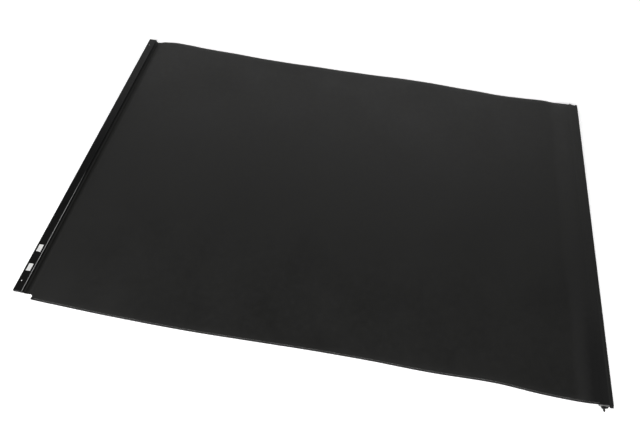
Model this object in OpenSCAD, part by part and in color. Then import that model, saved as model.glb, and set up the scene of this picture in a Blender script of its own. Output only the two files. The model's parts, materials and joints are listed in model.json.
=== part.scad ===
// Soft roll-up tonneau cover for a full-length pickup bed, laid out flat.
// X runs from the header (front) to the tailgate bar (rear), Y across the bed and Z up.
// The origin is at the middle of the cover, on the surface that it lies on.
// Left is the -Y side and right is the +Y side, as seen from the truck's seat.
// The vinyl sheet is split across its length into strips that turn one about the next, so that it rolls up.

/* [Cover] */
// Overall length, from the header's front face to the rear edge
cover_l = 2460; // [1900:10:2700]
// Length of the header across the bed, with its end caps
header_len = 1595; // [1300:5:1800]
// How far the sheet hangs past each end of the header
side_flap = 20; // [16:1:40]

/* [Header rail] */
// Width of the header rail
header_w = 42; // [40:1:60]
// Height of the header rail, without its foam seal
header_h = 14; // [14:0.5:16]
// Wall thickness of the header rail
header_wall = 2; // [1.6:0.1:2.2]
// Radius of the header rail's long edges
header_edge_r = 2.5; // [1:0.5:3]
// Thickness of each end cap
cap_t = 4; // [3:0.5:6]
// Thickness of the foam seal under the header
seal_h = 4; // [3:0.5:5]
// Width of the foam seal
seal_w = 30; // [20:1:34]
// Distance from each end of the header to its mounting hole
bolt_inset = 66; // [60:1:90]
// Radius of the tapped hole in each nut block, at the thread's crest
thread_r = 3.3; // [2.5:0.1:3.4]
// Radius of the clearance hole through the rail under each nut block
clearance_r = 4.5; // [4:0.1:6]
// Distance from each end of the header to its rivet
rivet_inset = 48; // [45:1:50]
// Distance from the header's front face to the rivets
rivet_x = 16; // [14:0.5:20]

/* [Blank labels] */
// Width of each label
label_w = 19; // [10:1:24]
// Length of each label
label_l = 34; // [20:1:45]
// Distance from the header's front face to the labels
label_x = 10; // [5:0.5:12]
// Distance from the header's left end to the first label
label_inset = 94; // [75:1:200]
// Spacing of the two labels
label_step = 93; // [60:1:200]

/* [Sheet] */
// Thickness of the vinyl sheet
sheet_t = 1.2; // [0.8:0.1:1.4]
// Height of the sheet's top face above the surface
sheet_z = 9; // [8.6:0.1:9.2]
// Width of the hem along each side
hem_w = 6; // [4:0.5:10]
// Depth of the hem below the sheet
hem_h = 3.2; // [2:0.1:3.6]
// Width of the hook-and-loop tape under each side
tape_w = 38; // [20:1:50]
// Thickness of the tape
tape_t = 1.4; // [1:0.1:2]
// Length of the front panel that stays flat behind the header
front_panel_l = 112; // [105:1:160]
// Radius of the notch beside each end of the header
notch_r = 12.7; // [8:0.1:14]
// Radius of the bead along each end of the sheet
keder_r = 2.5; // [2:0.1:2.7]

/* [Roll] */
// Number of strips that turn when the cover rolls up
strip_count = 32; // [32:1:34]
// Strips in one turn of the roll
strips_per_turn = 8; // [8]
// Spacing of the turns of the roll
roll_pitch = 11.5; // [10.5:0.5:14]
// Gap between neighbouring strips
strip_gap = 1; // [0.6:0.2:2]

/* [Rear bar] */
// Width of the rear bar
bar_w = 36; // [34:1:44]
// Height of the rear bar
bar_h = 22.6; // [22:0.2:26]
// Wall thickness of the rear bar
bar_wall = 2.2; // [1.8:0.1:2.4]
// Width of the slot along the underside of the rear bar
bar_slot = 16; // [15:1:18]
// How much shorter the rear bar is than the header, at each end
bar_inset = 3.5; // [2:0.5:12]
// Length of the finger window under each latch knob
window_l = 66; // [60:1:100]
// Outer radius of the tailgate seal tube
tube_r = 7; // [6:0.5:9]
// Wall thickness of the tailgate seal tube
tube_wall = 2; // [1.5:0.5:3]
// How far the tailgate seal tube reaches past each end of the rear bar
tube_out = 9; // [1:0.5:12]

/* [Latches] */
// Radius of the latch pins, where they run in their end plugs
pin_r = 4; // [3.5:0.1:4.2]
// Radius of the turned-down tips that enter the latch plates
pin_tip_r = 3.75; // [3.2:0.05:3.8]
// Height of the latch pins' axis above the surface
pin_z = 8.5; // [8.3:0.1:8.8]
// How far each latch pin reaches past its end plug's boss
pin_out = 13; // [8:1:20]
// Length of the bevel on each latch pin's tip
pin_bevel = 5; // [2:0.5:7]
// How far the latch pins draw in
pin_travel = 14; // [10:1:16]
// Running clearance around each pin, on the radius
pin_gap = 0.05; // [0.02:0.01:0.1]
// Wire diameter of the latch springs
spring_wire = 1.3; // [1:0.1:1.4]
// Turns in each latch spring
spring_turns = 6; // [4:1:8]

/* [Hidden] */
$fn = 48;
fit = 0.2;
front_x = -cover_l / 2;
rear_x = cover_l / 2;
half_len = header_len / 2;
half_sheet = half_len + side_flap;

// Header
header_back = front_x + header_w;
header_top = seal_h + header_h;
rail_half = half_len - cap_t;
keder_wall = 1.9;
groove_r = keder_r + 0.4;
groove_x = header_back - groove_r - keder_wall + 0.4;
groove_z = sheet_z - sheet_t / 2;
groove_slot = sheet_t + 2 * fit;
port_r = 1.5;
port_wall = 1.4;
port_xs = [front_x + 6.5, front_x + 28.5];
port_z = header_top - header_wall - port_r - 0.6;
rib_r = 1.3;
rivet_r = 1.6;
rivet_head_r = 2.6;
rivet_head_h = 1.1;
screw_head_r = 3;
screw_head_h = 1.8;
screw_l = 16;
block_l = 40;
block_z = seal_h + header_wall + fit;
block_h = header_h - 2 * header_wall - 2 * fit;

// Sheet and roll
notch_x = front_x + 72.4;
notch_out = side_flap - 7.8;
strips_x = header_back + front_panel_l;
tube_wrap_r = tube_r + sheet_t;
bar_x1 = rear_x - 2 * tube_wrap_r - 0.6;
bar_x0 = bar_x1 - bar_w;
strips_end = bar_x0 - 2;
fold_z = bar_h + fit + sheet_t;
strip_mean = (strips_end - strips_x) / strip_count;
strip_step = roll_pitch * 2 / strips_per_turn * tan(180 / strips_per_turn);
function strip_x(i) = strips_x + (i - 1) * (strip_mean + strip_step * (strip_count + 1 - i) / 2);

// Rear bar
bar_half = half_len - bar_inset;
bar_mid = bar_x0 + bar_w / 2;
bar_keder_x = bar_x0 + 6;
bar_keder_z = bar_h - groove_r - 1.8;
bar_ports = [[bar_x1 - 4.7, bar_h - 4.7], [bar_x0 + 5.2, 4.3]];
tube_x = rear_x - tube_wrap_r;
tube_z = fold_z - tube_wrap_r;

// Latches, placed by their distance from the middle of the bar
flange_t = 7;
step_t = 4.5;
boss_t = 7.5;
boss_r = 8.5;
barrel_r = 7;
barrel_l = 18;
latch_end = bar_half + flange_t + boss_t;
clip_r = 6.3;
clip_t = 1.6;
clip_y = bar_half - barrel_l - fit - clip_t;
bracket_t = 16;
bracket_y = clip_y - 39 - bracket_t;
bracket_top = 13.5;
bracket_screw_y = bracket_y + bracket_t / 2;
bracket_screw_r = 1.25;
knob_l = 14;
knob_r = 7;
knob_y = bracket_y - knob_l - 9;
window_y = bracket_y - 1 - window_l;
window_x0 = bar_mid - 10;
window_x1 = bar_mid + 13;
spring_r = pin_r + spring_wire / 2 + 0.75;

function two_digits(i) = str(i < 10 ? "0" : "", i);
function strip_name(i) = str("strip_", two_digits(i));

// ---- Shared shapes ----

// Extrudes a profile drawn in X and Z along Y, centred
module across(length) {
    rotate([90, 0, 0]) linear_extrude(length, center = true) children();
}

// A rectangle with round corners, from its low corner to its high corner
module round_rect(low, high, r) {
    size = high - low;
    translate(low) {
        translate([r, 0]) square([size[0] - 2 * r, size[1]]);
        translate([0, r]) square([size[0], size[1] - 2 * r]);
        for (x = [r, size[0] - r], y = [r, size[1] - r]) translate([x, y]) circle(r);
    }
}

// A rectangle from its low corner to its high corner
module rect(low, high) {
    translate(low) square(high - low);
}

// A shaft along Y, from y0 to y1
module shaft(x, z, r, y0, y1) {
    translate([x, y0, z]) rotate([-90, 0, 0]) cylinder(h = y1 - y0, r = r);
}

// Draws its children again on the other side of the cover
module both_sides() {
    children();
    mirror([0, 1, 0]) children();
}

// Draws what is made for the right side on the left side instead
module on_left() {
    mirror([0, 1, 0]) children();
}

// ---- Header ----

module rail_profile() {
    difference() {
        union() {
            difference() {
                round_rect([front_x, seal_h], [header_back, header_top], header_edge_r);
                rect([front_x + header_wall, seal_h + header_wall],
                     [header_back - header_wall, header_top - header_wall]);
            }
            intersection() {
                translate([groove_x, groove_z]) circle(groove_r + 1.5);
                rect([front_x, seal_h], [header_back, header_top]);
            }
            for (x = port_xs) translate([x, port_z]) circle(port_r + port_wall);
            translate([header_back - 2.6, header_top]) circle(rib_r);
        }
        translate([groove_x, groove_z]) circle(groove_r);
        rect([groove_x, groove_z - groove_slot / 2], [header_back + 1, groove_z + groove_slot / 2]);
        for (x = port_xs) translate([x, port_z]) circle(port_r);
    }
}

module header_rail() {
    color([0.10, 0.10, 0.10]) difference() {
        across(2 * rail_half) rail_profile();
        both_sides() {
            translate([front_x + rivet_x, half_len - bolt_inset, seal_h - 1])
                cylinder(h = header_wall + 2, r = clearance_r);
            translate([front_x + rivet_x, half_len - rivet_inset, header_top - header_wall - 1])
                cylinder(h = header_wall + 3, r = rivet_r);
        }
    }
}

module header_cap() {
    color([0.08, 0.08, 0.08]) translate([0, rail_half + cap_t / 2, 0]) across(cap_t) difference() {
        round_rect([front_x, seal_h], [header_back, header_top], header_edge_r);
        for (x = port_xs) translate([x, port_z]) circle(port_r + 0.2);
    }
}

module header_cap_screws() {
    color([0.15, 0.15, 0.15]) both_sides() for (x = port_xs) {
        shaft(x, port_z, screw_head_r, half_len, half_len + screw_head_h);
        shaft(x, port_z, port_r - 0.05, half_len - screw_l, half_len);
    }
}

module header_nut_blocks() {
    width = port_xs[1] - port_xs[0] - 2 * (port_r + port_wall + fit);
    color([0.6, 0.6, 0.62]) both_sides() difference() {
        translate([(port_xs[0] + port_xs[1] - width) / 2, half_len - bolt_inset - block_l / 3, block_z])
            cube([width, block_l, block_h]);
        translate([front_x + rivet_x, half_len - bolt_inset, block_z - 1])
            cylinder(h = block_h + 2, r = thread_r);
        translate([front_x + rivet_x, half_len - rivet_inset, block_z - 1])
            cylinder(h = block_h + 2, r = rivet_r);
    }
}

module header_rivets() {
    color([0.55, 0.55, 0.55]) both_sides()
        translate([front_x + rivet_x, half_len - rivet_inset, 0]) {
            translate([0, 0, block_z]) cylinder(h = header_top - block_z, r = rivet_r - 0.05);
            translate([0, 0, header_top]) cylinder(h = rivet_head_h, r1 = rivet_head_r, r2 = 1.2);
        }
}

module header_labels() {
    color([0.95, 0.95, 0.95]) for (k = [0, 1])
        translate([front_x + label_x, -half_len + label_inset + k * label_step, header_top])
            cube([label_w, label_l, 0.2]);
}

module header_seal() {
    color([0.06, 0.06, 0.06]) difference() {
        translate([front_x + 2, -rail_half, 0]) cube([seal_w, 2 * rail_half, seal_h]);
        both_sides() translate([front_x + rivet_x, half_len - bolt_inset, -1])
            cylinder(h = seal_h + 2, r = clearance_r + 2);
    }
}

module header_keder() {
    color([0.12, 0.12, 0.12]) shaft(groove_x, groove_z, keder_r, 1 - rail_half, rail_half - 1);
}

// ---- Sheet ----

// A flat band across or along the cover, from x0 to x1, with its top at z0 and z1 at those ends
module band(x0, x1, z0, z1, thickness, y0, y1) {
    translate([0, (y0 + y1) / 2, 0]) across(y1 - y0)
        polygon([[x0, z0], [x1, z1], [x1, z1 - thickness], [x0, z0 - thickness]]);
}

// The hem and the tape under each side of the sheet
module sheet_edges(x0, x1, z0, z1) {
    both_sides() {
        band(x0, x1, z0 - sheet_t / 2, z1 - sheet_t / 2, sheet_t / 2 + hem_h, half_sheet - hem_w, half_sheet);
        band(x0, x1, z0 - sheet_t, z1 - sheet_t, tape_t,
             half_sheet - hem_w - 2 - tape_w, half_sheet - hem_w - 2);
    }
}

module sheet_front() {
    start = groove_x + keder_r + 0.05;
    stop = strips_x - strip_gap / 2;
    color([0.17, 0.17, 0.16]) {
        translate([0, 0, sheet_z - sheet_t]) linear_extrude(sheet_t) difference() {
            union() {
                rect([start, 1 - rail_half], [stop, rail_half - 1]);
                rect([header_back + fit, -half_len], [stop, half_len]);
                rect([notch_x, -half_sheet], [stop, half_sheet]);
            }
            for (side = [-1, 1]) translate([notch_x, side * (half_len + notch_out)]) circle(notch_r);
        }
        sheet_edges(notch_x + notch_r + 4, stop, sheet_z, sheet_z);
    }
}

module strip(i) {
    x0 = strip_x(i) + strip_gap / 2;
    x1 = strip_x(i + 1) - strip_gap / 2;
    z1 = i < strip_count ? sheet_z : fold_z;
    color([0.17, 0.17, 0.16]) {
        band(x0, x1, sheet_z, z1, sheet_t, -half_sheet, half_sheet);
        sheet_edges(x0, x1, sheet_z, z1);
    }
}

// ---- Rear bar ----

module rear_hem() {
    color([0.17, 0.17, 0.16]) across(2 * bar_half + 2) {
        rect([strips_end + strip_gap / 2, fold_z - sheet_t], [tube_x, fold_z]);
        translate([tube_x, tube_z]) difference() {
            circle(tube_wrap_r);
            circle(tube_r);
        }
    }
}

module rear_keder() {
    color([0.12, 0.12, 0.12]) across(2 * bar_half - 20) {
        translate([bar_keder_x, bar_keder_z]) circle(keder_r);
        rect([bar_keder_x - sheet_t / 2, bar_keder_z],
             [bar_keder_x + sheet_t / 2, fold_z - sheet_t - fit / 2]);
    }
}

module tailgate_seal() {
    color([0.05, 0.05, 0.05]) across(2 * (bar_half + tube_out)) translate([tube_x, tube_z]) difference() {
        circle(tube_r);
        circle(tube_r - tube_wall);
    }
}

module bar_profile() {
    difference() {
        union() {
            difference() {
                round_rect([bar_x0, 0], [bar_x1, bar_h], 1.5);
                rect([bar_x0 + bar_wall, bar_wall], [bar_x1 - bar_wall, bar_h - bar_wall]);
                rect([bar_mid - bar_slot / 2, -1], [bar_mid + bar_slot / 2, bar_wall + 1]);
            }
            translate([bar_keder_x, bar_keder_z]) circle(groove_r + 1.5);
            for (p = bar_ports) translate(p) circle(port_r + port_wall);
        }
        translate([bar_keder_x, bar_keder_z]) circle(groove_r);
        rect([bar_keder_x - groove_slot / 2, bar_keder_z], [bar_keder_x + groove_slot / 2, bar_h + 1]);
        for (p = bar_ports) translate(p) circle(port_r);
    }
}

module rear_bar() {
    color([0.10, 0.10, 0.10]) difference() {
        across(2 * bar_half) bar_profile();
        both_sides() {
            translate([bar_x0 - 1, bracket_screw_y, pin_z])
                rotate([0, 90, 0]) cylinder(h = bar_wall + 2, r = bracket_screw_r + 0.15);
            translate([window_x0, window_y, -1])
                cube([window_x1 - window_x0, window_l, bar_wall + 2]);
        }
    }
}

// An end plug, with its flange against the bar's end and the pin's guide barrel inside the bar
module rear_plug() {
    color([0.62, 0.62, 0.62]) difference() {
        union() {
            translate([0, bar_half + flange_t / 2, 0]) across(flange_t)
                round_rect([bar_x0 + 0.5, 0.8], [bar_x1 - 0.5, bar_h - 0.6], 5);
            translate([0, bar_half + flange_t + step_t / 2 - 0.25, 0]) across(step_t + 0.5)
                round_rect([bar_x0 + 9.2, 1.2], [bar_x1 - 1.8, 14.2], 4);
            shaft(bar_mid, pin_z + 0.4, boss_r, bar_half + flange_t - 0.5, latch_end);
            shaft(bar_mid, pin_z, barrel_r, bar_half - barrel_l, bar_half + 1);
        }
        shaft(bar_mid, pin_z, pin_r + pin_gap, bar_half - barrel_l - 1, latch_end + 1);
        for (p = bar_ports) {
            shaft(p[0], p[1], port_r + 0.1, bar_half - 1, latch_end);
            shaft(p[0], p[1], screw_head_r + fit, bar_half + flange_t - screw_head_h - fit, latch_end);
        }
    }
}

module rear_plug_screws() {
    head_y = bar_half + flange_t - screw_head_h - fit;
    color([0.15, 0.15, 0.15]) both_sides() for (p = bar_ports) {
        shaft(p[0], p[1], screw_head_r, head_y, head_y + screw_head_h);
        shaft(p[0], p[1], port_r - 0.05, bar_half - screw_l, head_y);
    }
}

// ---- Latches ----

module latch_brackets() {
    x0 = bar_x0 + bar_wall + 0.3;
    color([0.30, 0.30, 0.30]) both_sides() difference() {
        translate([x0, bracket_y, bar_wall + 0.3])
            cube([bar_mid + 10 - x0, bracket_t, bracket_top - bar_wall - 0.3]);
        shaft(bar_mid, pin_z, pin_r + pin_gap, bracket_y - 1, bracket_y + bracket_t + 1);
        translate([x0 - 1, bracket_screw_y, pin_z])
            rotate([0, 90, 0]) cylinder(h = bar_mid - pin_r - x0, r = bracket_screw_r + 0.05);
        shaft(bar_ports[1][0], bar_ports[1][1], port_r + port_wall + fit,
              bracket_y - 1, bracket_y + bracket_t + 1);
    }
}

module latch_bracket_screws() {
    reach = bar_mid - pin_r - 2 - bar_x0;
    color([0.15, 0.15, 0.15]) both_sides() translate([bar_x0, bracket_screw_y, pin_z])
        rotate([0, 90, 0]) {
            cylinder(h = reach, r = bracket_screw_r);
            translate([0, 0, -1.2]) cylinder(h = 1.2, r = screw_head_r);
        }
}

module latch_pin() {
    tip_start = latch_end + 1;
    straight_end = latch_end + pin_out - pin_bevel;
    color([0.08, 0.08, 0.08]) {
        shaft(bar_mid, pin_z, pin_r, knob_y + 2, tip_start);
        shaft(bar_mid, pin_z, pin_tip_r, tip_start, straight_end);
        translate([bar_mid, straight_end, pin_z]) rotate([-90, 0, 0])
            cylinder(h = pin_bevel, r1 = pin_tip_r, r2 = pin_tip_r * 0.45);
    }
}

module latch_clip() {
    color([0.5, 0.5, 0.5]) difference() {
        shaft(bar_mid, pin_z, clip_r, clip_y, clip_y + clip_t);
        shaft(bar_mid, pin_z, pin_r + 0.02, clip_y - 1, clip_y + clip_t + 1);
    }
}

module latch_knob() {
    grooves = 4;
    color([0.07, 0.07, 0.07]) difference() {
        shaft(bar_mid, pin_z, knob_r, knob_y, knob_y + knob_l);
        shaft(bar_mid, pin_z, pin_r + 0.02, knob_y + 2, knob_y + knob_l + 1);
        for (k = [1 : grooves]) difference() {
            y = knob_y + k * knob_l / (grooves + 1) - 0.6;
            shaft(bar_mid, pin_z, knob_r + 1, y, y + 1.2);
            shaft(bar_mid, pin_z, knob_r - 0.8, y - 1, y + 2.2);
        }
    }
}

// A ring of the spring's wire at the given share of its length
function spring_ring(t, y0, y1, sides) =
    let (a = 360 * spring_turns * t, r = spring_wire / 2, y = y0 + r + (y1 - y0 - 2 * r) * t)
    [for (k = [0 : sides - 1])
        let (b = 360 * k / sides, out = spring_r + r * cos(b))
        [bar_mid + out * cos(a), y + r * sin(b), pin_z + out * sin(a)]];

module latch_spring() {
    sides = 8;
    rings = 16 * spring_turns;
    points = [for (j = [0 : rings])
        each spring_ring(j / rings, bracket_y + bracket_t + fit, clip_y - fit, sides)];
    skin = [for (j = [0 : rings - 1], k = [0 : sides - 1])
        [j * sides + k, j * sides + (k + 1) % sides,
         (j + 1) * sides + (k + 1) % sides, (j + 1) * sides + k]];
    first_end = [for (k = [0 : sides - 1]) sides - 1 - k];
    last_end = [for (k = [0 : sides - 1]) rings * sides + k];
    color([0.7, 0.7, 0.7]) polyhedron(points, concat(skin, [first_end, last_end]), convexity = 10);
}

header_rail();
on_left() header_cap();  // header_cap_left
header_cap();  // header_cap_right
header_cap_screws();
header_nut_blocks();
header_rivets();
header_labels();
header_seal();
header_keder();
sheet_front();
for (i = [1 : strip_count]) strip(i);
rear_hem();
rear_keder();
tailgate_seal();
rear_bar();
on_left() rear_plug();  // rear_plug_left
rear_plug();  // rear_plug_right
rear_plug_screws();
latch_brackets();
latch_bracket_screws();
on_left() latch_pin();  // latch_pin_left
latch_pin();  // latch_pin_right
on_left() latch_clip();  // latch_clip_left
latch_clip();  // latch_clip_right
on_left() latch_knob();  // latch_knob_left
latch_knob();  // latch_knob_right
on_left() latch_spring();  // latch_spring_left
latch_spring();  // latch_spring_right
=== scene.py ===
import json
import math

import bpy
import numpy as np
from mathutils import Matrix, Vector


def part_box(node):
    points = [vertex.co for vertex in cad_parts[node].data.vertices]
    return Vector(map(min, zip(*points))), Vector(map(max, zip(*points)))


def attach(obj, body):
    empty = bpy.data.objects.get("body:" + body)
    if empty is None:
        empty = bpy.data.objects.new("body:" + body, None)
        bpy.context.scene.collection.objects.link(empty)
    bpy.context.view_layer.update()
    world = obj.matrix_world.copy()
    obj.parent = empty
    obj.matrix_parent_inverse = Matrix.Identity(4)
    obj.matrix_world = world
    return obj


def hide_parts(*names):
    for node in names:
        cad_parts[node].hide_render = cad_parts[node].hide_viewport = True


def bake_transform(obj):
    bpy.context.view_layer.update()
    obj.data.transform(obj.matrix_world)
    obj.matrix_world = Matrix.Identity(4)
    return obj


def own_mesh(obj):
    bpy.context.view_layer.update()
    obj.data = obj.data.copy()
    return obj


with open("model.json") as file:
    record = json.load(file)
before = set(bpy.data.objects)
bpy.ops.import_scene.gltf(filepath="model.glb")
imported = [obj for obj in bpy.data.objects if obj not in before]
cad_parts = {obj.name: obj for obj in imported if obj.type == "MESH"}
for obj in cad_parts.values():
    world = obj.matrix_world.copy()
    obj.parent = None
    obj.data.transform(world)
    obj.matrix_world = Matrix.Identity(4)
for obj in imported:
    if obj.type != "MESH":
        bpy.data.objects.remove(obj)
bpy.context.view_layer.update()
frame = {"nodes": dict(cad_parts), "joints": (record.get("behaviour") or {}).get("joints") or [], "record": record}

MM = 0.001
nodes = frame["nodes"]
joints = {j["name"]: j for j in frame["joints"]}


def cad_box(node):
    """A CAD node's lowest and highest corner, in millimetres."""
    low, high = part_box(node)
    return np.array(low) / MM, np.array(high) / MM


def step(x, x0, x1):
    """0 before x0, 1 after x1, and smooth between."""
    t = min(1.0, max(0.0, (x - x0) / (x1 - x0)))
    return t * t * (3 - 2 * t)


def smooth_curve(points):
    """A function that passes smoothly through the points, each (x, value), in order of x."""
    xs = [p[0] for p in points]
    ys = [p[1] for p in points]
    last = len(points) - 1
    slopes = []
    for i in range(last + 1):
        a, b = max(0, i - 1), min(last, i + 1)
        slopes.append((ys[b] - ys[a]) / (xs[b] - xs[a]))

    def at(x):
        x = min(max(x, xs[0]), xs[-1])
        i = min(last - 1, max(0, sum(1 for v in xs if v <= x) - 1))
        h = xs[i + 1] - xs[i]
        t = (x - xs[i]) / h
        return ((1 + 2 * t) * (1 - t) ** 2 * ys[i] + t * (1 - t) ** 2 * h * slopes[i]
                + t * t * (3 - 2 * t) * ys[i + 1] + t * t * (t - 1) * h * slopes[i + 1])

    return at


# ---- Camera ----

camera_data = bpy.data.cameras.new("camera")
camera = bpy.data.objects.new("camera", camera_data)
bpy.context.scene.collection.objects.link(camera)
camera.location = (0.1022, -1.3476, 1.9806)
camera.rotation_euler = [math.radians(a) for a in (31.12, -2.13, 10.42)]
camera_data.sensor_width = 36
camera_data.lens = 27.58
camera_data.clip_end = 50
bpy.context.scene.camera = camera

# ---- Materials ----

# Colours from dark to light, and roughness from low to high
VINYL_DARK = (0.0048, 0.0048, 0.0042)
VINYL_LIGHT = (0.0062, 0.0062, 0.0054)
VINYL_SCUFF = (0.0100, 0.0100, 0.0092)
VINYL_ROUGH = (0.50, 0.58)
POWDER_DARK = (0.0030, 0.0030, 0.0030)
POWDER_LIGHT = (0.0050, 0.0050, 0.0050)
POWDER_ROUGH = (0.30, 0.40)
POWDER_IOR = 1.27

# A patch of painted shade near the rear left corner, where the vinyl is also rougher, in metres: along x where it
# starts, is full, starts to end and has ended, and across y where it is full and has ended
VINYL_PAINTED_SHADE = (0.0008, 0.0008, 0.0008)
SHADE_AND_DULL_X = (1.09, 1.16, 1.207, 1.217)
SHADE_AND_DULL_Y = (-0.65, 0.0)
DULL_ROUGHER = 0.48

# The worn rib: across y where the wear is full and has ended, in metres, and how far from the rail's
# inner edge and from its top it starts and is full, in millimetres
RIB_BARE = (0.85, 0.85, 0.85)
RIB_WEAR = (-0.42, -0.16)
RIB_FROM_EDGE = (4.2, 3.7)
RIB_FROM_TOP = (1.0, 0.5)

# The end plugs get painted shade over this length of their outer ends, in millimetres
PLUG_SHADE_DEPTH = 7.3
PLUG_FADE = 0.4
PLUG_PAINTED_SHADE = (0.015, 0.015, 0.015)


def add(tree, kind, **settings):
    node = tree.nodes.new(kind)
    for key, value in settings.items():
        setattr(node, key, value)
    return node


def texture(tree, kind, coordinates, scale, **inputs):
    """A texture node at so many features a metre, read at the coordinates."""
    node = add(tree, kind)
    tree.links.new(coordinates, node.inputs["Vector"])
    node.inputs["Scale"].default_value = scale
    for name, value in inputs.items():
        node.inputs[name.replace("_", " ")].default_value = value
    return node


def spread(tree, value, low, high, from_low=0.3, from_high=0.7):
    """Maps a texture's value onto low to high."""
    node = add(tree, "ShaderNodeMapRange")
    node.inputs["From Min"].default_value = from_low
    node.inputs["From Max"].default_value = from_high
    node.inputs["To Min"].default_value = low
    node.inputs["To Max"].default_value = high
    tree.links.new(value, node.inputs["Value"])
    return node.outputs["Result"]


def mixed(tree, factor, first, second):
    """A colour between first and second."""
    node = add(tree, "ShaderNodeMix", data_type="RGBA")
    tree.links.new(factor, node.inputs["Factor"])
    node.inputs["A"].default_value = (*first, 1)
    node.inputs["B"].default_value = (*second, 1)
    return node.outputs["Result"]


def bumped(tree, height, distance, strength, under=None):
    """A bump whose height is a texture's value, over another bump if one is given."""
    node = add(tree, "ShaderNodeBump")
    node.inputs["Distance"].default_value = distance
    node.inputs["Strength"].default_value = strength
    tree.links.new(height, node.inputs["Height"])
    if under is not None:
        tree.links.new(under, node.inputs["Normal"])
    return node.outputs["Normal"]


def material(name, dark, light, rough, grain, depth, metallic=0.0, ior=1.5, mottle=9.0, sheen=0.0):
    """A finish with a grain of so many features a metre, cloudy colour and uneven gloss."""
    made = bpy.data.materials.new(name)
    made.use_nodes = True
    tree = made.node_tree
    shader = tree.nodes["Principled BSDF"]
    shader.inputs["Metallic"].default_value = metallic
    shader.inputs["IOR"].default_value = ior
    shader.inputs["Sheen Weight"].default_value = sheen
    place = add(tree, "ShaderNodeTexCoord").outputs["Object"]
    clouds = texture(tree, "ShaderNodeTexNoise", place, mottle, Detail=4.0, Roughness=0.6)
    tree.links.new(mixed(tree, spread(tree, clouds.outputs["Fac"], 0, 1), dark, light),
                   shader.inputs["Base Color"])
    wear = texture(tree, "ShaderNodeTexNoise", place, mottle * 7, Detail=3.0)
    tree.links.new(spread(tree, wear.outputs["Fac"], rough[0], rough[1]), shader.inputs["Roughness"])
    fine = texture(tree, "ShaderNodeTexNoise", place, grain, Detail=2.0)
    tree.links.new(bumped(tree, fine.outputs["Fac"], depth * MM, 0.6), shader.inputs["Normal"])
    return made


def vinyl_material():
    """Coated fabric: a pebbled grain over a faint woven backing, broad cloudy changes of gloss, and painted shade
    on a rougher patch near the rear left corner.
    """
    made = bpy.data.materials.new("black_vinyl_grain")
    made.use_nodes = True
    tree = made.node_tree
    shader = tree.nodes["Principled BSDF"]
    shader.inputs["IOR"].default_value = 1.48
    place = add(tree, "ShaderNodeAttribute", attribute_name="rest_place").outputs["Vector"]
    clouds = texture(tree, "ShaderNodeTexNoise", place, 3.2, Detail=3.0, Roughness=0.55)
    marks = texture(tree, "ShaderNodeTexNoise", place, 38.0, Detail=5.0, Roughness=0.65)
    tint = mixed(tree, spread(tree, clouds.outputs["Fac"], 0, 1), VINYL_DARK, VINYL_LIGHT)
    scuffed = add(tree, "ShaderNodeMix", data_type="RGBA")
    tree.links.new(spread(tree, marks.outputs["Fac"], 0, 0.35, 0.55, 0.8), scuffed.inputs["Factor"])
    tree.links.new(tint, scuffed.inputs["A"])
    scuffed.inputs["B"].default_value = (*VINYL_SCUFF, 1)
    axes = add(tree, "ShaderNodeSeparateXYZ")
    tree.links.new(place, axes.inputs[0])
    near = add(tree, "ShaderNodeMath", operation="MULTIPLY")
    tree.links.new(spread(tree, axes.outputs["X"], 0, 1, SHADE_AND_DULL_X[0], SHADE_AND_DULL_X[1]), near.inputs[0])
    tree.links.new(spread(tree, axes.outputs["Y"], 1, 0, SHADE_AND_DULL_Y[0], SHADE_AND_DULL_Y[1]), near.inputs[1])
    shade_and_dull = add(tree, "ShaderNodeMath", operation="MULTIPLY")
    tree.links.new(near.outputs["Value"], shade_and_dull.inputs[0])
    tree.links.new(spread(tree, axes.outputs["X"], 1, 0, SHADE_AND_DULL_X[2], SHADE_AND_DULL_X[3]), shade_and_dull.inputs[1])
    # Painted shade: the base colour is darkened over the patch near the rear left corner
    painted_shade = add(tree, "ShaderNodeMix", data_type="RGBA")
    tree.links.new(shade_and_dull.outputs["Value"], painted_shade.inputs["Factor"])
    tree.links.new(scuffed.outputs["Result"], painted_shade.inputs["A"])
    painted_shade.inputs["B"].default_value = (*VINYL_PAINTED_SHADE, 1)
    tree.links.new(painted_shade.outputs["Result"], shader.inputs["Base Color"])
    rougher = add(tree, "ShaderNodeMath", operation="MULTIPLY_ADD")
    rougher.inputs[1].default_value = DULL_ROUGHER
    tree.links.new(shade_and_dull.outputs["Value"], rougher.inputs[0])
    tree.links.new(spread(tree, marks.outputs["Fac"], -0.03, 0.05), rougher.inputs[2])
    gloss = add(tree, "ShaderNodeMath", operation="ADD")
    tree.links.new(spread(tree, clouds.outputs["Fac"], VINYL_ROUGH[0], VINYL_ROUGH[1]), gloss.inputs[0])
    tree.links.new(rougher.outputs["Value"], gloss.inputs[1])
    tree.links.new(gloss.outputs["Value"], shader.inputs["Roughness"])
    pebbles = texture(tree, "ShaderNodeTexVoronoi", place, 950.0)
    pebbles.feature = "SMOOTH_F1"
    creases = bumped(tree, pebbles.outputs["Distance"], 0.12 * MM, 0.5)
    weave = add(tree, "ShaderNodeMath", operation="MULTIPLY")
    for slot, direction in ((0, "X"), (1, "Y")):
        threads = texture(tree, "ShaderNodeTexWave", place, 130.0, Distortion=0.4, Detail_Scale=2.0)
        threads.bands_direction = direction
        tree.links.new(threads.outputs["Fac"], weave.inputs[slot])
    woven = bumped(tree, weave.outputs["Value"], 0.05 * MM, 0.35, creases)
    ripples = bumped(tree, clouds.outputs["Fac"], 4 * MM, 0.25, woven)
    tree.links.new(ripples, shader.inputs["Normal"])
    return made


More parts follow.
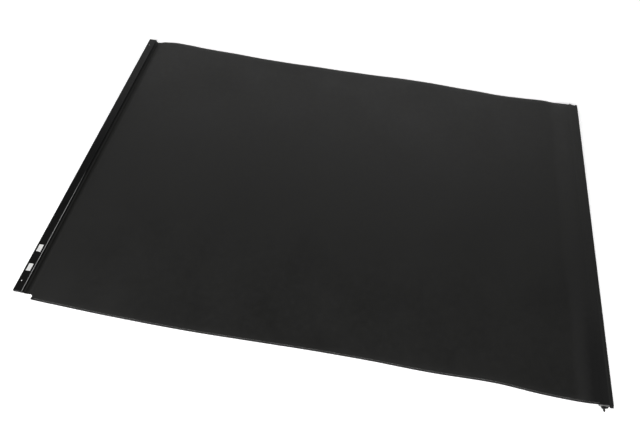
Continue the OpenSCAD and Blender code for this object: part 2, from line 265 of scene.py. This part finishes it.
def wear_rib(made, top):
    """Rubs the coat off the rib along the rail's inner edge, mostly towards the cover's left side."""
    tree = made.node_tree
    shader = tree.nodes["Principled BSDF"]
    place = add(tree, "ShaderNodeTexCoord").outputs["Object"]
    axes = add(tree, "ShaderNodeSeparateXYZ")
    tree.links.new(place, axes.inputs[0])
    patches = texture(tree, "ShaderNodeTexNoise", place, 26.0, Detail=4.0)
    shares = [spread(tree, axes.outputs["X"], 0, 1, (top[0] - RIB_FROM_EDGE[0]) * MM,
                     (top[0] - RIB_FROM_EDGE[1]) * MM),
              spread(tree, axes.outputs["Z"], 0, 1, (top[2] - RIB_FROM_TOP[0]) * MM,
                     (top[2] - RIB_FROM_TOP[1]) * MM),
              spread(tree, axes.outputs["Y"], 1, 0, RIB_WEAR[0], RIB_WEAR[1]),
              spread(tree, patches.outputs["Fac"], 0.55, 1, 0.35, 0.60)]
    worn = shares[0]
    for share in shares[1:]:
        product = add(tree, "ShaderNodeMath", operation="MULTIPLY")
        tree.links.new(worn, product.inputs[0])
        tree.links.new(share, product.inputs[1])
        worn = product.outputs["Value"]
    coat = shader.inputs["Base Color"].links[0].from_socket
    bare = add(tree, "ShaderNodeMix", data_type="RGBA")
    tree.links.new(worn, bare.inputs["Factor"])
    tree.links.new(coat, bare.inputs["A"])
    bare.inputs["B"].default_value = (*RIB_BARE, 1)
    tree.links.new(bare.outputs["Result"], shader.inputs["Base Color"])
    tree.links.new(worn, shader.inputs["Metallic"])


vinyl = vinyl_material()
tape = material("hook_tape", (0.008, 0.008, 0.008), (0.014, 0.014, 0.014), (0.9, 1.0), 1500, 0.5, sheen=0.2)
# The side stitches are real thread, lightened to grey as painted highlight along the hems
thread = material("grey_thread_painted_highlight", (0.30, 0.30, 0.29), (0.40, 0.40, 0.39), (0.45, 0.6), 2600, 0.12, mottle=60)
seam_thread = material("black_thread", (0.010, 0.010, 0.010), (0.018, 0.018, 0.018), (0.6, 0.75), 2600, 0.12,
                       mottle=60)
FINISHES = {
    "black_aluminium": material("powder_coat", POWDER_DARK, POWDER_LIGHT, POWDER_ROUGH, 1300, 0.035,
                                ior=POWDER_IOR),
    "black_plastic": material("black_moulding", (0.006, 0.006, 0.006), (0.010, 0.010, 0.010), (0.42, 0.55),
                              1900, 0.06),
    "dark_steel": material("black_oxide", (0.012, 0.012, 0.012), (0.024, 0.023, 0.022), (0.28, 0.42),
                           900, 0.02, metallic=0.4, mottle=60),
    "grey_steel": material("zinc_plate", (0.42, 0.42, 0.42), (0.52, 0.51, 0.48), (0.30, 0.45), 700, 0.02,
                           metallic=0.9, mottle=40),
    "bright_steel": material("bright_steel", (0.58, 0.58, 0.58), (0.68, 0.68, 0.67), (0.20, 0.34), 800, 0.015,
                             metallic=1.0, mottle=60),
    "grey_zinc": material("cast_zinc", (0.22, 0.22, 0.22), (0.30, 0.30, 0.29), (0.42, 0.56), 1500, 0.06,
                          metallic=0.5, mottle=50),
    "label_white": material("paper_label", (0.80, 0.80, 0.79), (0.88, 0.88, 0.87), (0.55, 0.70), 2200, 0.03,
                            mottle=70),
    "black_rubber": material("black_rubber", (0.008, 0.008, 0.008), (0.014, 0.014, 0.014), (0.62, 0.78),
                             1400, 0.08),
    "bead_cord": material("bead_cord", (0.012, 0.012, 0.012), (0.022, 0.022, 0.022), (0.5, 0.65), 1700, 0.08),
}
for part in frame["record"]["subparts"]:
    finish = FINISHES.get(part["material_slot"])
    if finish is not None:
        data = nodes[part["node"]].data
        data.materials.clear()
        data.materials.append(finish)


def paint_plug_end_shade(made, past):
    """Paints shade onto the end plugs' outermost step and boss, which lie past a distance from the cover's middle.
    """
    tree = made.node_tree
    shader = tree.nodes["Principled BSDF"]
    axes = add(tree, "ShaderNodeSeparateXYZ")
    tree.links.new(add(tree, "ShaderNodeTexCoord").outputs["Object"], axes.inputs[0])
    out = add(tree, "ShaderNodeMath", operation="ABSOLUTE")
    tree.links.new(axes.outputs["Y"], out.inputs[0])
    plug_shade = add(tree, "ShaderNodeMix", data_type="RGBA")
    share = spread(tree, out.outputs["Value"], 0, 1, past * MM, (past + PLUG_FADE) * MM)
    tree.links.new(share, plug_shade.inputs["Factor"])
    tree.links.new(shader.inputs["Base Color"].links[0].from_socket, plug_shade.inputs["A"])
    plug_shade.inputs["B"].default_value = (*PLUG_PAINTED_SHADE, 1)
    tree.links.new(plug_shade.outputs["Result"], shader.inputs["Base Color"])


# Painted shade on the zinc end plugs' outer step and boss
paint_plug_end_shade(FINISHES["grey_zinc"], cad_box("rear_plug_right")[1][1] - PLUG_SHADE_DEPTH)
rail = material("powder_coat_worn", POWDER_DARK, POWDER_LIGHT, POWDER_ROUGH, 1300, 0.035, ior=POWDER_IOR)
rail_low, rail_high = cad_box("header_rail")
wear_rib(rail, rail_high)
nodes["header_rail"].data.materials.clear()
nodes["header_rail"].data.materials.append(rail)

# ---- The sheet's shape, in millimetres ----

front, front_high = cad_box("sheet_front")
tube_low, tube_high = cad_box("tailgate_seal")

front_x = rail_low[0]
neck_half = cad_box("header_cap_right")[1][1]
slot_half = rail_high[1] - 1
bar_half = cad_box("rear_hem")[1][1]
flat_z = front_high[2]
hinge_xs = [1000 * joints[n]["pos_m"][0] for n in sorted(joints) if n.startswith("roll_")]
strips = len(hinge_xs)
fold_x, _, fold_z = [1000 * v for v in joints["bar_fold"]["pos_m"]]
middles = [(a + b) / 2 for a, b in zip(hinge_xs, hinge_xs[1:] + [fold_x])]
THICK = 1.2
TAPE = 1.4
FLAP = 818.0
bar_front = cad_box("rear_bar")[0][0]
tube_x = (tube_low[0] + tube_high[0]) / 2
tube_z = (tube_low[2] + tube_high[2]) / 2
wrap_r = (tube_high[2] - tube_low[2]) / 2 + THICK

# Half widths on the left (near) and right (far) side, by distance from the header's front face
left_half = smooth_curve([(82, 817.5), (170, 820), (420, 823.5), (720, 823), (960, 815), (1240, 805),
                          (1500, 799), (1760, 799.5), (2005, 791), (2190, 799), (2320, 801), (2385, 801),
                          (2412, 799), (2445, 795)])
right_half = smooth_curve([(72, 799), (95, 807), (150, 816), (230, 814), (330, 806), (590, 800), (820, 796),
                           (1080, 800), (1350, 807), (1620, 814), (1880, 808), (2030, 802), (2160, 808),
                           (2285, 818), (2345, 808), (2410, 796), (2440, 795)])

# The section near a side: distance from the edge, then heights of the top and the underside over the sheet's
# own top, first where it is hemmed and then where it is only cut
EDGE = [(0.0, -2.6, -3.4, -0.35, -0.85), (0.25, -1.55, -4.0, -0.1, -1.1), (0.8, -0.65, -4.35, 0, -1.2),
        (1.6, -0.05, -4.5, 0, -1.2), (2.6, 0.42, -4.5, 0, -1.2), (3.6, 0.6, -4.5, 0, -1.2),
        (4.6, 0.45, -4.4, 0, -1.2), (5.4, 0.05, -4.1, 0, -1.2), (6.0, -0.55, -3.4, 0, -1.2),
        (6.6, -0.7, -2.3, 0, -1.2), (7.3, -0.3, -1.5, 0, -1.2), (8.4, 0, -1.2, 0, -1.2)]
# The section further in: distance from the edge, then 1 where the tape lies under the sheet
TAPE_EDGE = [(9.1, 1), (13, 1), (17, 1), (21, 1), (27, 1), (34, 1), (45.4, 1), (46.0, 0)]
COLUMNS = 42
CENTRE_IN = 58
NO_EDGE = 99
SEAM_IN = 6.3

# Heights: the sheet droops by DROOP where it leaves the header's groove, rises by RAIL_RISE behind it and
# lies SLACK below its flat place, and its hems ride HEM_RIDE over where they rest
DROOP = 7.0
RAIL_RISE = 3.4
SLACK = 2.4
HEM_REST = 4.9
HEM_RIDE = 2.4
EDGE_FALL = 1.6
BAR_CREST = 2.0

# Stretches along the cover over which something begins or ends, by distance from the header's front face
DROOPS = (42.4, 46)
RISES = (46, 76)
SLACKENS = (58, 230)
HEM_STARTS_LEFT = (82, 94)
HEM_STARTS_RIGHT = (84, 112)
HEM_FADES = (2376, 2398)
HEM_FADE = 0.75
TAPE_STARTS = (90, 98)
TAPE_ENDS = (2388, 2398)
STITCHED = (98, 2438)

# The same at the sides, as shares of the half width and as distances from an edge
SIDE_RISES = (0.62, 1.0)
EDGE_FALLS = (6, 26)
EDGE_FOLLOWS = (0, 45)


def lie(x, y):
    """Height of the sheet's top face, which droops out of the groove, lies slack and climbs onto the bar."""
    from_front = x - front_x
    side = y / FLAP
    hung = flat_z - DROOP * step(from_front, *DROOPS) + RAIL_RISE * step(from_front, *RISES)
    broad = 0.6 * math.sin(from_front / 173 + y / 410) + 0.4 * math.sin(from_front / 97 - y / 230 + 1.2)
    near = HEM_RIDE + math.sin(from_front / 92 + 0.6) + 0.4 * math.sin(from_front / 41 + 2.0)
    far = HEM_RIDE + 1.1 * math.sin(from_front / 84 + 2.6) + 0.4 * math.sin(from_front / 37)
    slack = flat_z - SLACK + broad
    slack += (HEM_REST + near + EDGE_FALL - 1 - slack) * step(-side, *SIDE_RISES)
    slack += (HEM_REST + far + EDGE_FALL - 1 - slack) * step(side, *SIDE_RISES)
    z = hung + (slack - hung) * step(from_front, *SLACKENS)
    z += (fold_z - z) * step(x, hinge_xs[-2] + 6, bar_front)
    up, down = step(x, bar_front - 1, bar_front + 10), step(x, bar_front + 13, bar_front + 35)
    return z + BAR_CREST * up * (1 - down)


def hem_share(from_front, left):
    """How far a side is hemmed: 1 along the cover, 0 at the notch and little over the bar."""
    start = step(from_front, *(HEM_STARTS_LEFT if left else HEM_STARTS_RIGHT))
    return start * (1 - HEM_FADE * step(from_front, *HEM_FADES))


def edge_fall(z, edge_in, hem):
    """The height z near an edge, where a hemmed edge falls away until the hem lies on the floor."""
    share = hem * (1 - step(edge_in, *EDGE_FALLS))
    return z + share * (max(z - EDGE_FALL, HEM_REST) - z)


def row(x, left, right, hems=(1, 1), taped=1.0, height=lie, normal=(0, 1)):
    """One row across the sheet, as its top and its underside points.

    left and right are (x, half width) at the edges, hems and taped how far each is hemmed and taped.
    """
    top, under = [], []

    def put(y, edge_x, edge_in, up, down):
        px = x + (edge_x - x) * (1 - step(edge_in, *EDGE_FOLLOWS))
        z = edge_fall(height(x, y), edge_in, hems[0] if y < 0 else hems[1])
        top.append((px + normal[0] * up, y, z + normal[1] * up))
        under.append((px + normal[0] * down, y, z + normal[1] * down))

    def side(sign, edge, hem, order):
        for inward, hem_up, hem_down, cut_up, cut_down in (EDGE if order > 0 else EDGE[::-1]):
            up = cut_up + (hem_up - cut_up) * hem
            down = cut_down + (hem_down - cut_down) * hem
            put(sign * (edge[1] - inward), edge[0], inward, up, down)

    def tape_side(sign, edge, order):
        for inward, on in (TAPE_EDGE if order > 0 else TAPE_EDGE[::-1]):
            put(sign * (edge[1] - inward), edge[0], inward, 0, -THICK - on * taped * TAPE)

    side(-1, left, hems[0], 1)
    tape_side(-1, left, 1)
    y0, y1 = -left[1] + CENTRE_IN, right[1] - CENTRE_IN
    for i in range(COLUMNS + 1):
        put(y0 + (y1 - y0) * i / COLUMNS, x, NO_EDGE, 0, -THICK)
    tape_side(1, right, -1)
    side(1, right, hems[1], -1)
    return top, under


def plain_row(x):
    """A row where both edges stand square to the sides."""
    from_front = x - front_x
    return row(x, (x, left_half(from_front)), (x, right_half(from_front)),
               (hem_share(from_front, True), hem_share(from_front, False)),
               taped=step(from_front, *TAPE_STARTS) * (1 - step(from_front, *TAPE_ENDS)))


def front_rows(end):
    """Rows from the header's groove, past the notch beside the header's end, to the first strip's middle."""
    rows = []
    for x, half in ((front[0], slot_half), (rail_high[0] - 0.2, slot_half), (rail_high[0] + 0.25, neck_half)):
        rows.append(row(x, (x, half), (x, half), (0, 0), 0))
    for past in (46, 50, 54, 58, 62, 66, 69):
        x = front_x + past
        rows.append(row(x, (x, neck_half), (x, neck_half), (0, 0), 0))
    notch_r, notch_x, notch_y = 12.7, front_x + 72.4, neck_half + 12.2
    for angle, past in ((-90, 72.4), (-64, 76), (-40, 79.5), (-18, 82.5), (4, 85), (22, 87), (38, 89)):
        x, a = front_x + past, math.radians(angle)
        left = (notch_x + notch_r * math.cos(a), notch_y + notch_r * math.sin(a))
        rows.append(row(x, left, (x, right_half(past)), (0, hem_share(past, False)), 0))
    for past, edge, hem in ((91, 86.5, 0.45), (94, 91, 0.85), (98, 96.5, 1)):
        x = front_x + past
        rows.append(row(x, (front_x + edge, left_half(edge)), (x, right_half(past)),
                        (hem, hem_share(past, False)), step(past, *TAPE_STARTS)))
    x = front_x + 104
    while x < end - 9:
        rows.append(plain_row(x))
        x += 8
    rows += [plain_row(end - 5), plain_row(end - 1.2), plain_row(end)]
    return rows


def strip_rows(start, end):
    """Rows between the middles of two strips, close together at both ends so that shading meets."""
    shares = (0, 0.02, 0.09, 0.19, 0.30, 0.40, 0.47, 0.53, 0.60, 0.70, 0.81, 0.91, 0.98, 1)
    return [plain_row(start + (end - start) * t) for t in shares]


# The dip of the seam between the bar and the seal tube, as (x, height), and where its stitches lie
SEAM_DIP = ((1212.6, 23.9), (1213.8, 23.6), (1214.8, 23.35), (1215.7, 23.3), (1216.9, 23.4), (1218.5, 23.65),
            (1220.2, 23.9))
SEAM_X = 1215.4
SEAM_Z = 23.35


def rear_rows(start):
    """Rows from the last strip's middle over the rear bar, round the seal tube and back to the seam."""
    rows = []
    for x in [start, start + 0.8] + [fold_x + d for d in (-22, -18, -14, -11, -8.5, -6, -4, -2, 0, 1.5)]:
        rows.append(plain_row(x))
    for x in (fold_x + 4, fold_x + 9, fold_x + 16, fold_x + 24, fold_x + 31, fold_x + 35.5):
        rows.append(plain_row(x))
    for x, z in SEAM_DIP:
        rows.append(row(x, (x, bar_half), (x, bar_half), (0, 0), 0, height=lambda px, y, z=z: z))
    for angle in (90, 72, 54, 36, 18, 0, -18, -36, -54, -72, -90, -108, -126, -144, -162, 180, 162, 142):
        a = math.radians(angle)
        x, z = tube_x + wrap_r * math.cos(a), tube_z + wrap_r * math.sin(a)
        rows.append(row(x, (x, bar_half), (x, bar_half), (0, 0), 0, height=lambda px, y, z=z: z,
                        normal=(math.cos(a), math.sin(a))))
    return rows


def stitch(points, faces, kinds, at, along, across, kind=2, length=3.8, radius=0.42):
    """A short raised thread whose ends dip into the sheet."""
    sides = 6
    first = len(points)
    up = np.cross(along, across)
    shape = ((-0.5, -0.9, 0.5), (-0.36, 0.25, 0.9), (0, 0.75, 1.0), (0.36, 0.25, 0.9), (0.5, -0.9, 0.5))
    for share, lift, fat in shape:
        middle = at + along * (share * length) + up * (lift * radius)
        for k in range(sides):
            a = 2 * math.pi * k / sides
            points.append(tuple(middle + (across * math.cos(a) + up * math.sin(a)) * radius * fat))
    for ring in range(len(shape) - 1):
        for k in range(sides):
            a, b = first + ring * sides + k, first + ring * sides + (k + 1) % sides
            faces.append((a, b, b + sides, a + sides))
            kinds.append(kind)
    last = first + (len(shape) - 1) * sides
    faces.append(tuple(first + k for k in reversed(range(sides))))
    faces.append(tuple(last + k for k in range(sides)))
    kinds.extend((kind, kind))


STITCH_STEP = 4.6
STITCH_SUNK = 0.65


def side_stitches(points, faces, kinds, start, end):
    """Stitches along both hems between two places along the cover."""
    for k in range(math.ceil(start / STITCH_STEP), math.ceil(end / STITCH_STEP)):
        x = k * STITCH_STEP
        from_front = x - front_x
        if not STITCHED[0] < from_front < STITCHED[1]:
            continue
        for sign, half in ((-1, left_half), (1, right_half)):
            y = sign * (half(from_front) - SEAM_IN)
            ahead = sign * (half(from_front + 2) - half(from_front - 2)) / 4
            rise = (lie(x + 2, y) - lie(x - 2, y)) / 4
            along = np.array((1, ahead, rise))
            along /= np.linalg.norm(along)
            across = np.cross((0, 0, 1), along)
            across /= np.linalg.norm(across)
            z = edge_fall(lie(x, y), SEAM_IN, hem_share(from_front, sign < 0))
            stitch(points, faces, kinds, np.array((x, y, z - STITCH_SUNK)), along, across)


def seam_stitches(points, faces, kinds):
    """Stitches in the seam in front of the seal tube."""
    count = int((2 * bar_half - 8) / STITCH_STEP)
    for k in range(count + 1):
        y = (k - count / 2) * STITCH_STEP
        stitch(points, faces, kinds, np.array((SEAM_X, y, SEAM_Z)), np.array((0.0, 1.0, 0.0)),
               np.array((-1.0, 0.0, 0.0)), kind=3)


def sheet_piece(name, rows, start, end, rear=False):
    """A closed mesh from the rows, with the tape and the stitches as its other materials."""
    points, faces, kinds = [], [], []
    width = len(rows[0][0])
    for top, under in rows:
        points += top + under
    size = 2 * width
    tape_from, tape_to = len(EDGE) - 1, len(EDGE) + len(TAPE_EDGE) - 1
    taped = set(range(tape_from, tape_to)) | {width - 2 - i for i in range(tape_from, tape_to)}
    for r in range(len(rows) - 1):
        a, b = r * size, (r + 1) * size
        for c in range(width - 1):
            faces.append((a + c, b + c, b + c + 1, a + c + 1))
            kinds.append(0)
            faces.append((a + width + c, a + width + c + 1, b + width + c + 1, b + width + c))
            kinds.append(1 if c in taped else 0)
        faces.append((a, a + width, b + width, b))
        faces.append((a + width - 1, b + width - 1, b + size - 1, a + size - 1))
        kinds += [0, 0]
    last = (len(rows) - 1) * size
    for c in range(width - 1):
        faces.append((c, c + 1, width + c + 1, width + c))
        faces.append((last + c, last + width + c, last + width + c + 1, last + c + 1))
        kinds += [0, 0]
    side_stitches(points, faces, kinds, start, end)
    if rear:
        seam_stitches(points, faces, kinds)
    mesh = bpy.data.meshes.new(name)
    mesh.from_pydata([tuple(v * MM for v in p) for p in points], [], faces)
    for finish in (vinyl, tape, thread, seam_thread):
        mesh.materials.append(finish)
    mesh.polygons.foreach_set("material_index", kinds)
    mesh.polygons.foreach_set("use_smooth", [True] * len(faces))
    mesh.update()
    mesh.set_sharp_from_angle(angle=math.radians(52))
    place = mesh.attributes.new("rest_place", "FLOAT_VECTOR", "POINT")
    place.data.foreach_set("vector", np.array(points, np.float32).ravel() * MM)
    piece = bpy.data.objects.new(name, mesh)
    bpy.context.scene.collection.objects.link(piece)
    return piece


def strip_body(i):
    return f"strip_{i:02d}"


rows = front_rows(middles[0])
piece = sheet_piece("vinyl_front", rows, front[0], middles[0])
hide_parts("sheet_front")
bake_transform(piece)
for i in range(1, strips):
    rows = strip_rows(middles[i - 1], middles[i])
    piece = sheet_piece(f"vinyl_{i:02d}", rows, middles[i - 1], middles[i])
    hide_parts(strip_body(i))
    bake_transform(piece)
rows = rear_rows(middles[-1])
piece = sheet_piece("vinyl_rear", rows, middles[-1], fold_x, rear=True)
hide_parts(strip_body(strips), "rear_hem")
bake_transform(piece)

# ---- Latch springs ----


def spring(side):
    """A round-wire spring in the latch spring's place, carried by the rear bar."""
    low, high = cad_box(f"latch_spring_{side}")
    x, z = (low[0] + high[0]) / 2, (low[2] + high[2]) / 2
    wire, turns, sides, per_turn = 0.65, 6, 10, 28
    coil = (high[0] - low[0]) / 2 - wire
    count = turns * per_turn
    points, faces = [], []
    for j in range(count + 1):
        t = j / count
        a = 2 * math.pi * turns * t
        climbed = 0.04 * step(t, 0, 0.1) + 0.92 * t + 0.04 * step(t, 0.9, 1)
        y = low[1] + wire + (high[1] - low[1] - 2 * wire) * climbed
        out = np.array((math.cos(a), 0, math.sin(a)))
        middle = np.array((x, y, z)) + out * coil
        for k in range(sides):
            b = 2 * math.pi * k / sides
            points.append(tuple((middle + wire * (out * math.cos(b) + np.array((0, math.sin(b), 0)))) * MM))
    for j in range(count):
        for k in range(sides):
            a, b = j * sides + k, j * sides + (k + 1) % sides
            faces.append((a, b, b + sides, a + sides))
    faces.append(tuple(range(sides)))
    faces.append(tuple(count * sides + k for k in reversed(range(sides))))
    mesh = bpy.data.meshes.new(f"spring_{side}")
    mesh.from_pydata(points, [], faces)
    mesh.polygons.foreach_set("use_smooth", [True] * len(faces))
    mesh.materials.append(FINISHES["bright_steel"])
    mesh.update()
    made = bpy.data.objects.new(f"spring_{side}", mesh)
    bpy.context.scene.collection.objects.link(made)
    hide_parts(f"latch_spring_{side}")
    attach(made, "rear_bar")
    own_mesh(made)


spring("left")
spring("right")

# ---- Floor and light ----


def softbox(name, place, aim, size, watts):
    data = bpy.data.lights.new(name, "AREA")
    data.shape = "RECTANGLE"
    data.size, data.size_y = size
    data.energy = watts
    light = bpy.data.objects.new(name, data)
    light.location = place
    light.rotation_euler = (Vector(aim) - Vector(place)).to_track_quat("-Z", "Y").to_euler()
    bpy.context.scene.collection.objects.link(light)


FLOOR = 30.0
FLOOR_Z = -0.0004
FLOOR_GLOW = 0.5
floor_mesh = bpy.data.meshes.new("floor")
floor_mesh.from_pydata([(-FLOOR, -FLOOR, FLOOR_Z), (FLOOR, -FLOOR, FLOOR_Z), (FLOOR, FLOOR, FLOOR_Z),
                        (-FLOOR, FLOOR, FLOOR_Z)], [], [(0, 1, 2, 3)])
floor = bpy.data.objects.new("floor", floor_mesh)
bpy.context.scene.collection.objects.link(floor)
paint = bpy.data.materials.new("floor_paint")
paint.use_nodes = True
coat = paint.node_tree.nodes["Principled BSDF"].inputs
coat["Base Color"].default_value = (0.93, 0.93, 0.93, 1)
coat["Roughness"].default_value = 0.9
coat["Specular IOR Level"].default_value = 0.1
coat["Emission Color"].default_value = (1, 1, 1, 1)
coat["Emission Strength"].default_value = FLOOR_GLOW
floor_mesh.materials.append(paint)

# The sky's strength near the horizon and overhead, and the heights of direction between which it changes
SKY_LOW = 0.74
SKY_HIGH = 0.09
SKY_CLIMB = (0.12, 0.50)
world = bpy.data.worlds.new("studio")
bpy.context.scene.world = world
world.use_nodes = True
sky = world.node_tree
sky.nodes["Background"].inputs["Color"].default_value = (1, 1, 1, 1)
direction = add(sky, "ShaderNodeSeparateXYZ")
sky.links.new(add(sky, "ShaderNodeTexCoord").outputs["Generated"], direction.inputs[0])
strength = spread(sky, direction.outputs["Z"], SKY_LOW, SKY_HIGH, *SKY_CLIMB)
sky.links.new(strength, sky.nodes["Background"].inputs["Strength"])

softbox("front_strip", (0, -4.2, 3.2), (0, -0.4, 0), (6.0, 1.0), 150)
softbox("front_left", (-3.4, -3.8, 2.4), (0, 0, 0), (2.6, 2.0), 80)
softbox("front_right", (3.4, -3.8, 2.4), (0, 0, 0), (2.6, 2.0), 50)
softbox("left", (-4.4, 0.2, 2.4), (0, 0, 0), (2.2, 1.6), 12)
softbox("back_left", (-2.6, 3.8, 3.0), (0, 0, 0), (2.6, 2.0), 22)
softbox("back", (0.4, 4.4, 3.2), (0, 0, 0), (3.2, 2.0), 33)
softbox("back_right", (3.0, 3.8, 3.0), (0, 0, 0), (2.6, 2.0), 11)

bpy.context.scene.view_settings.view_transform = "Standard"
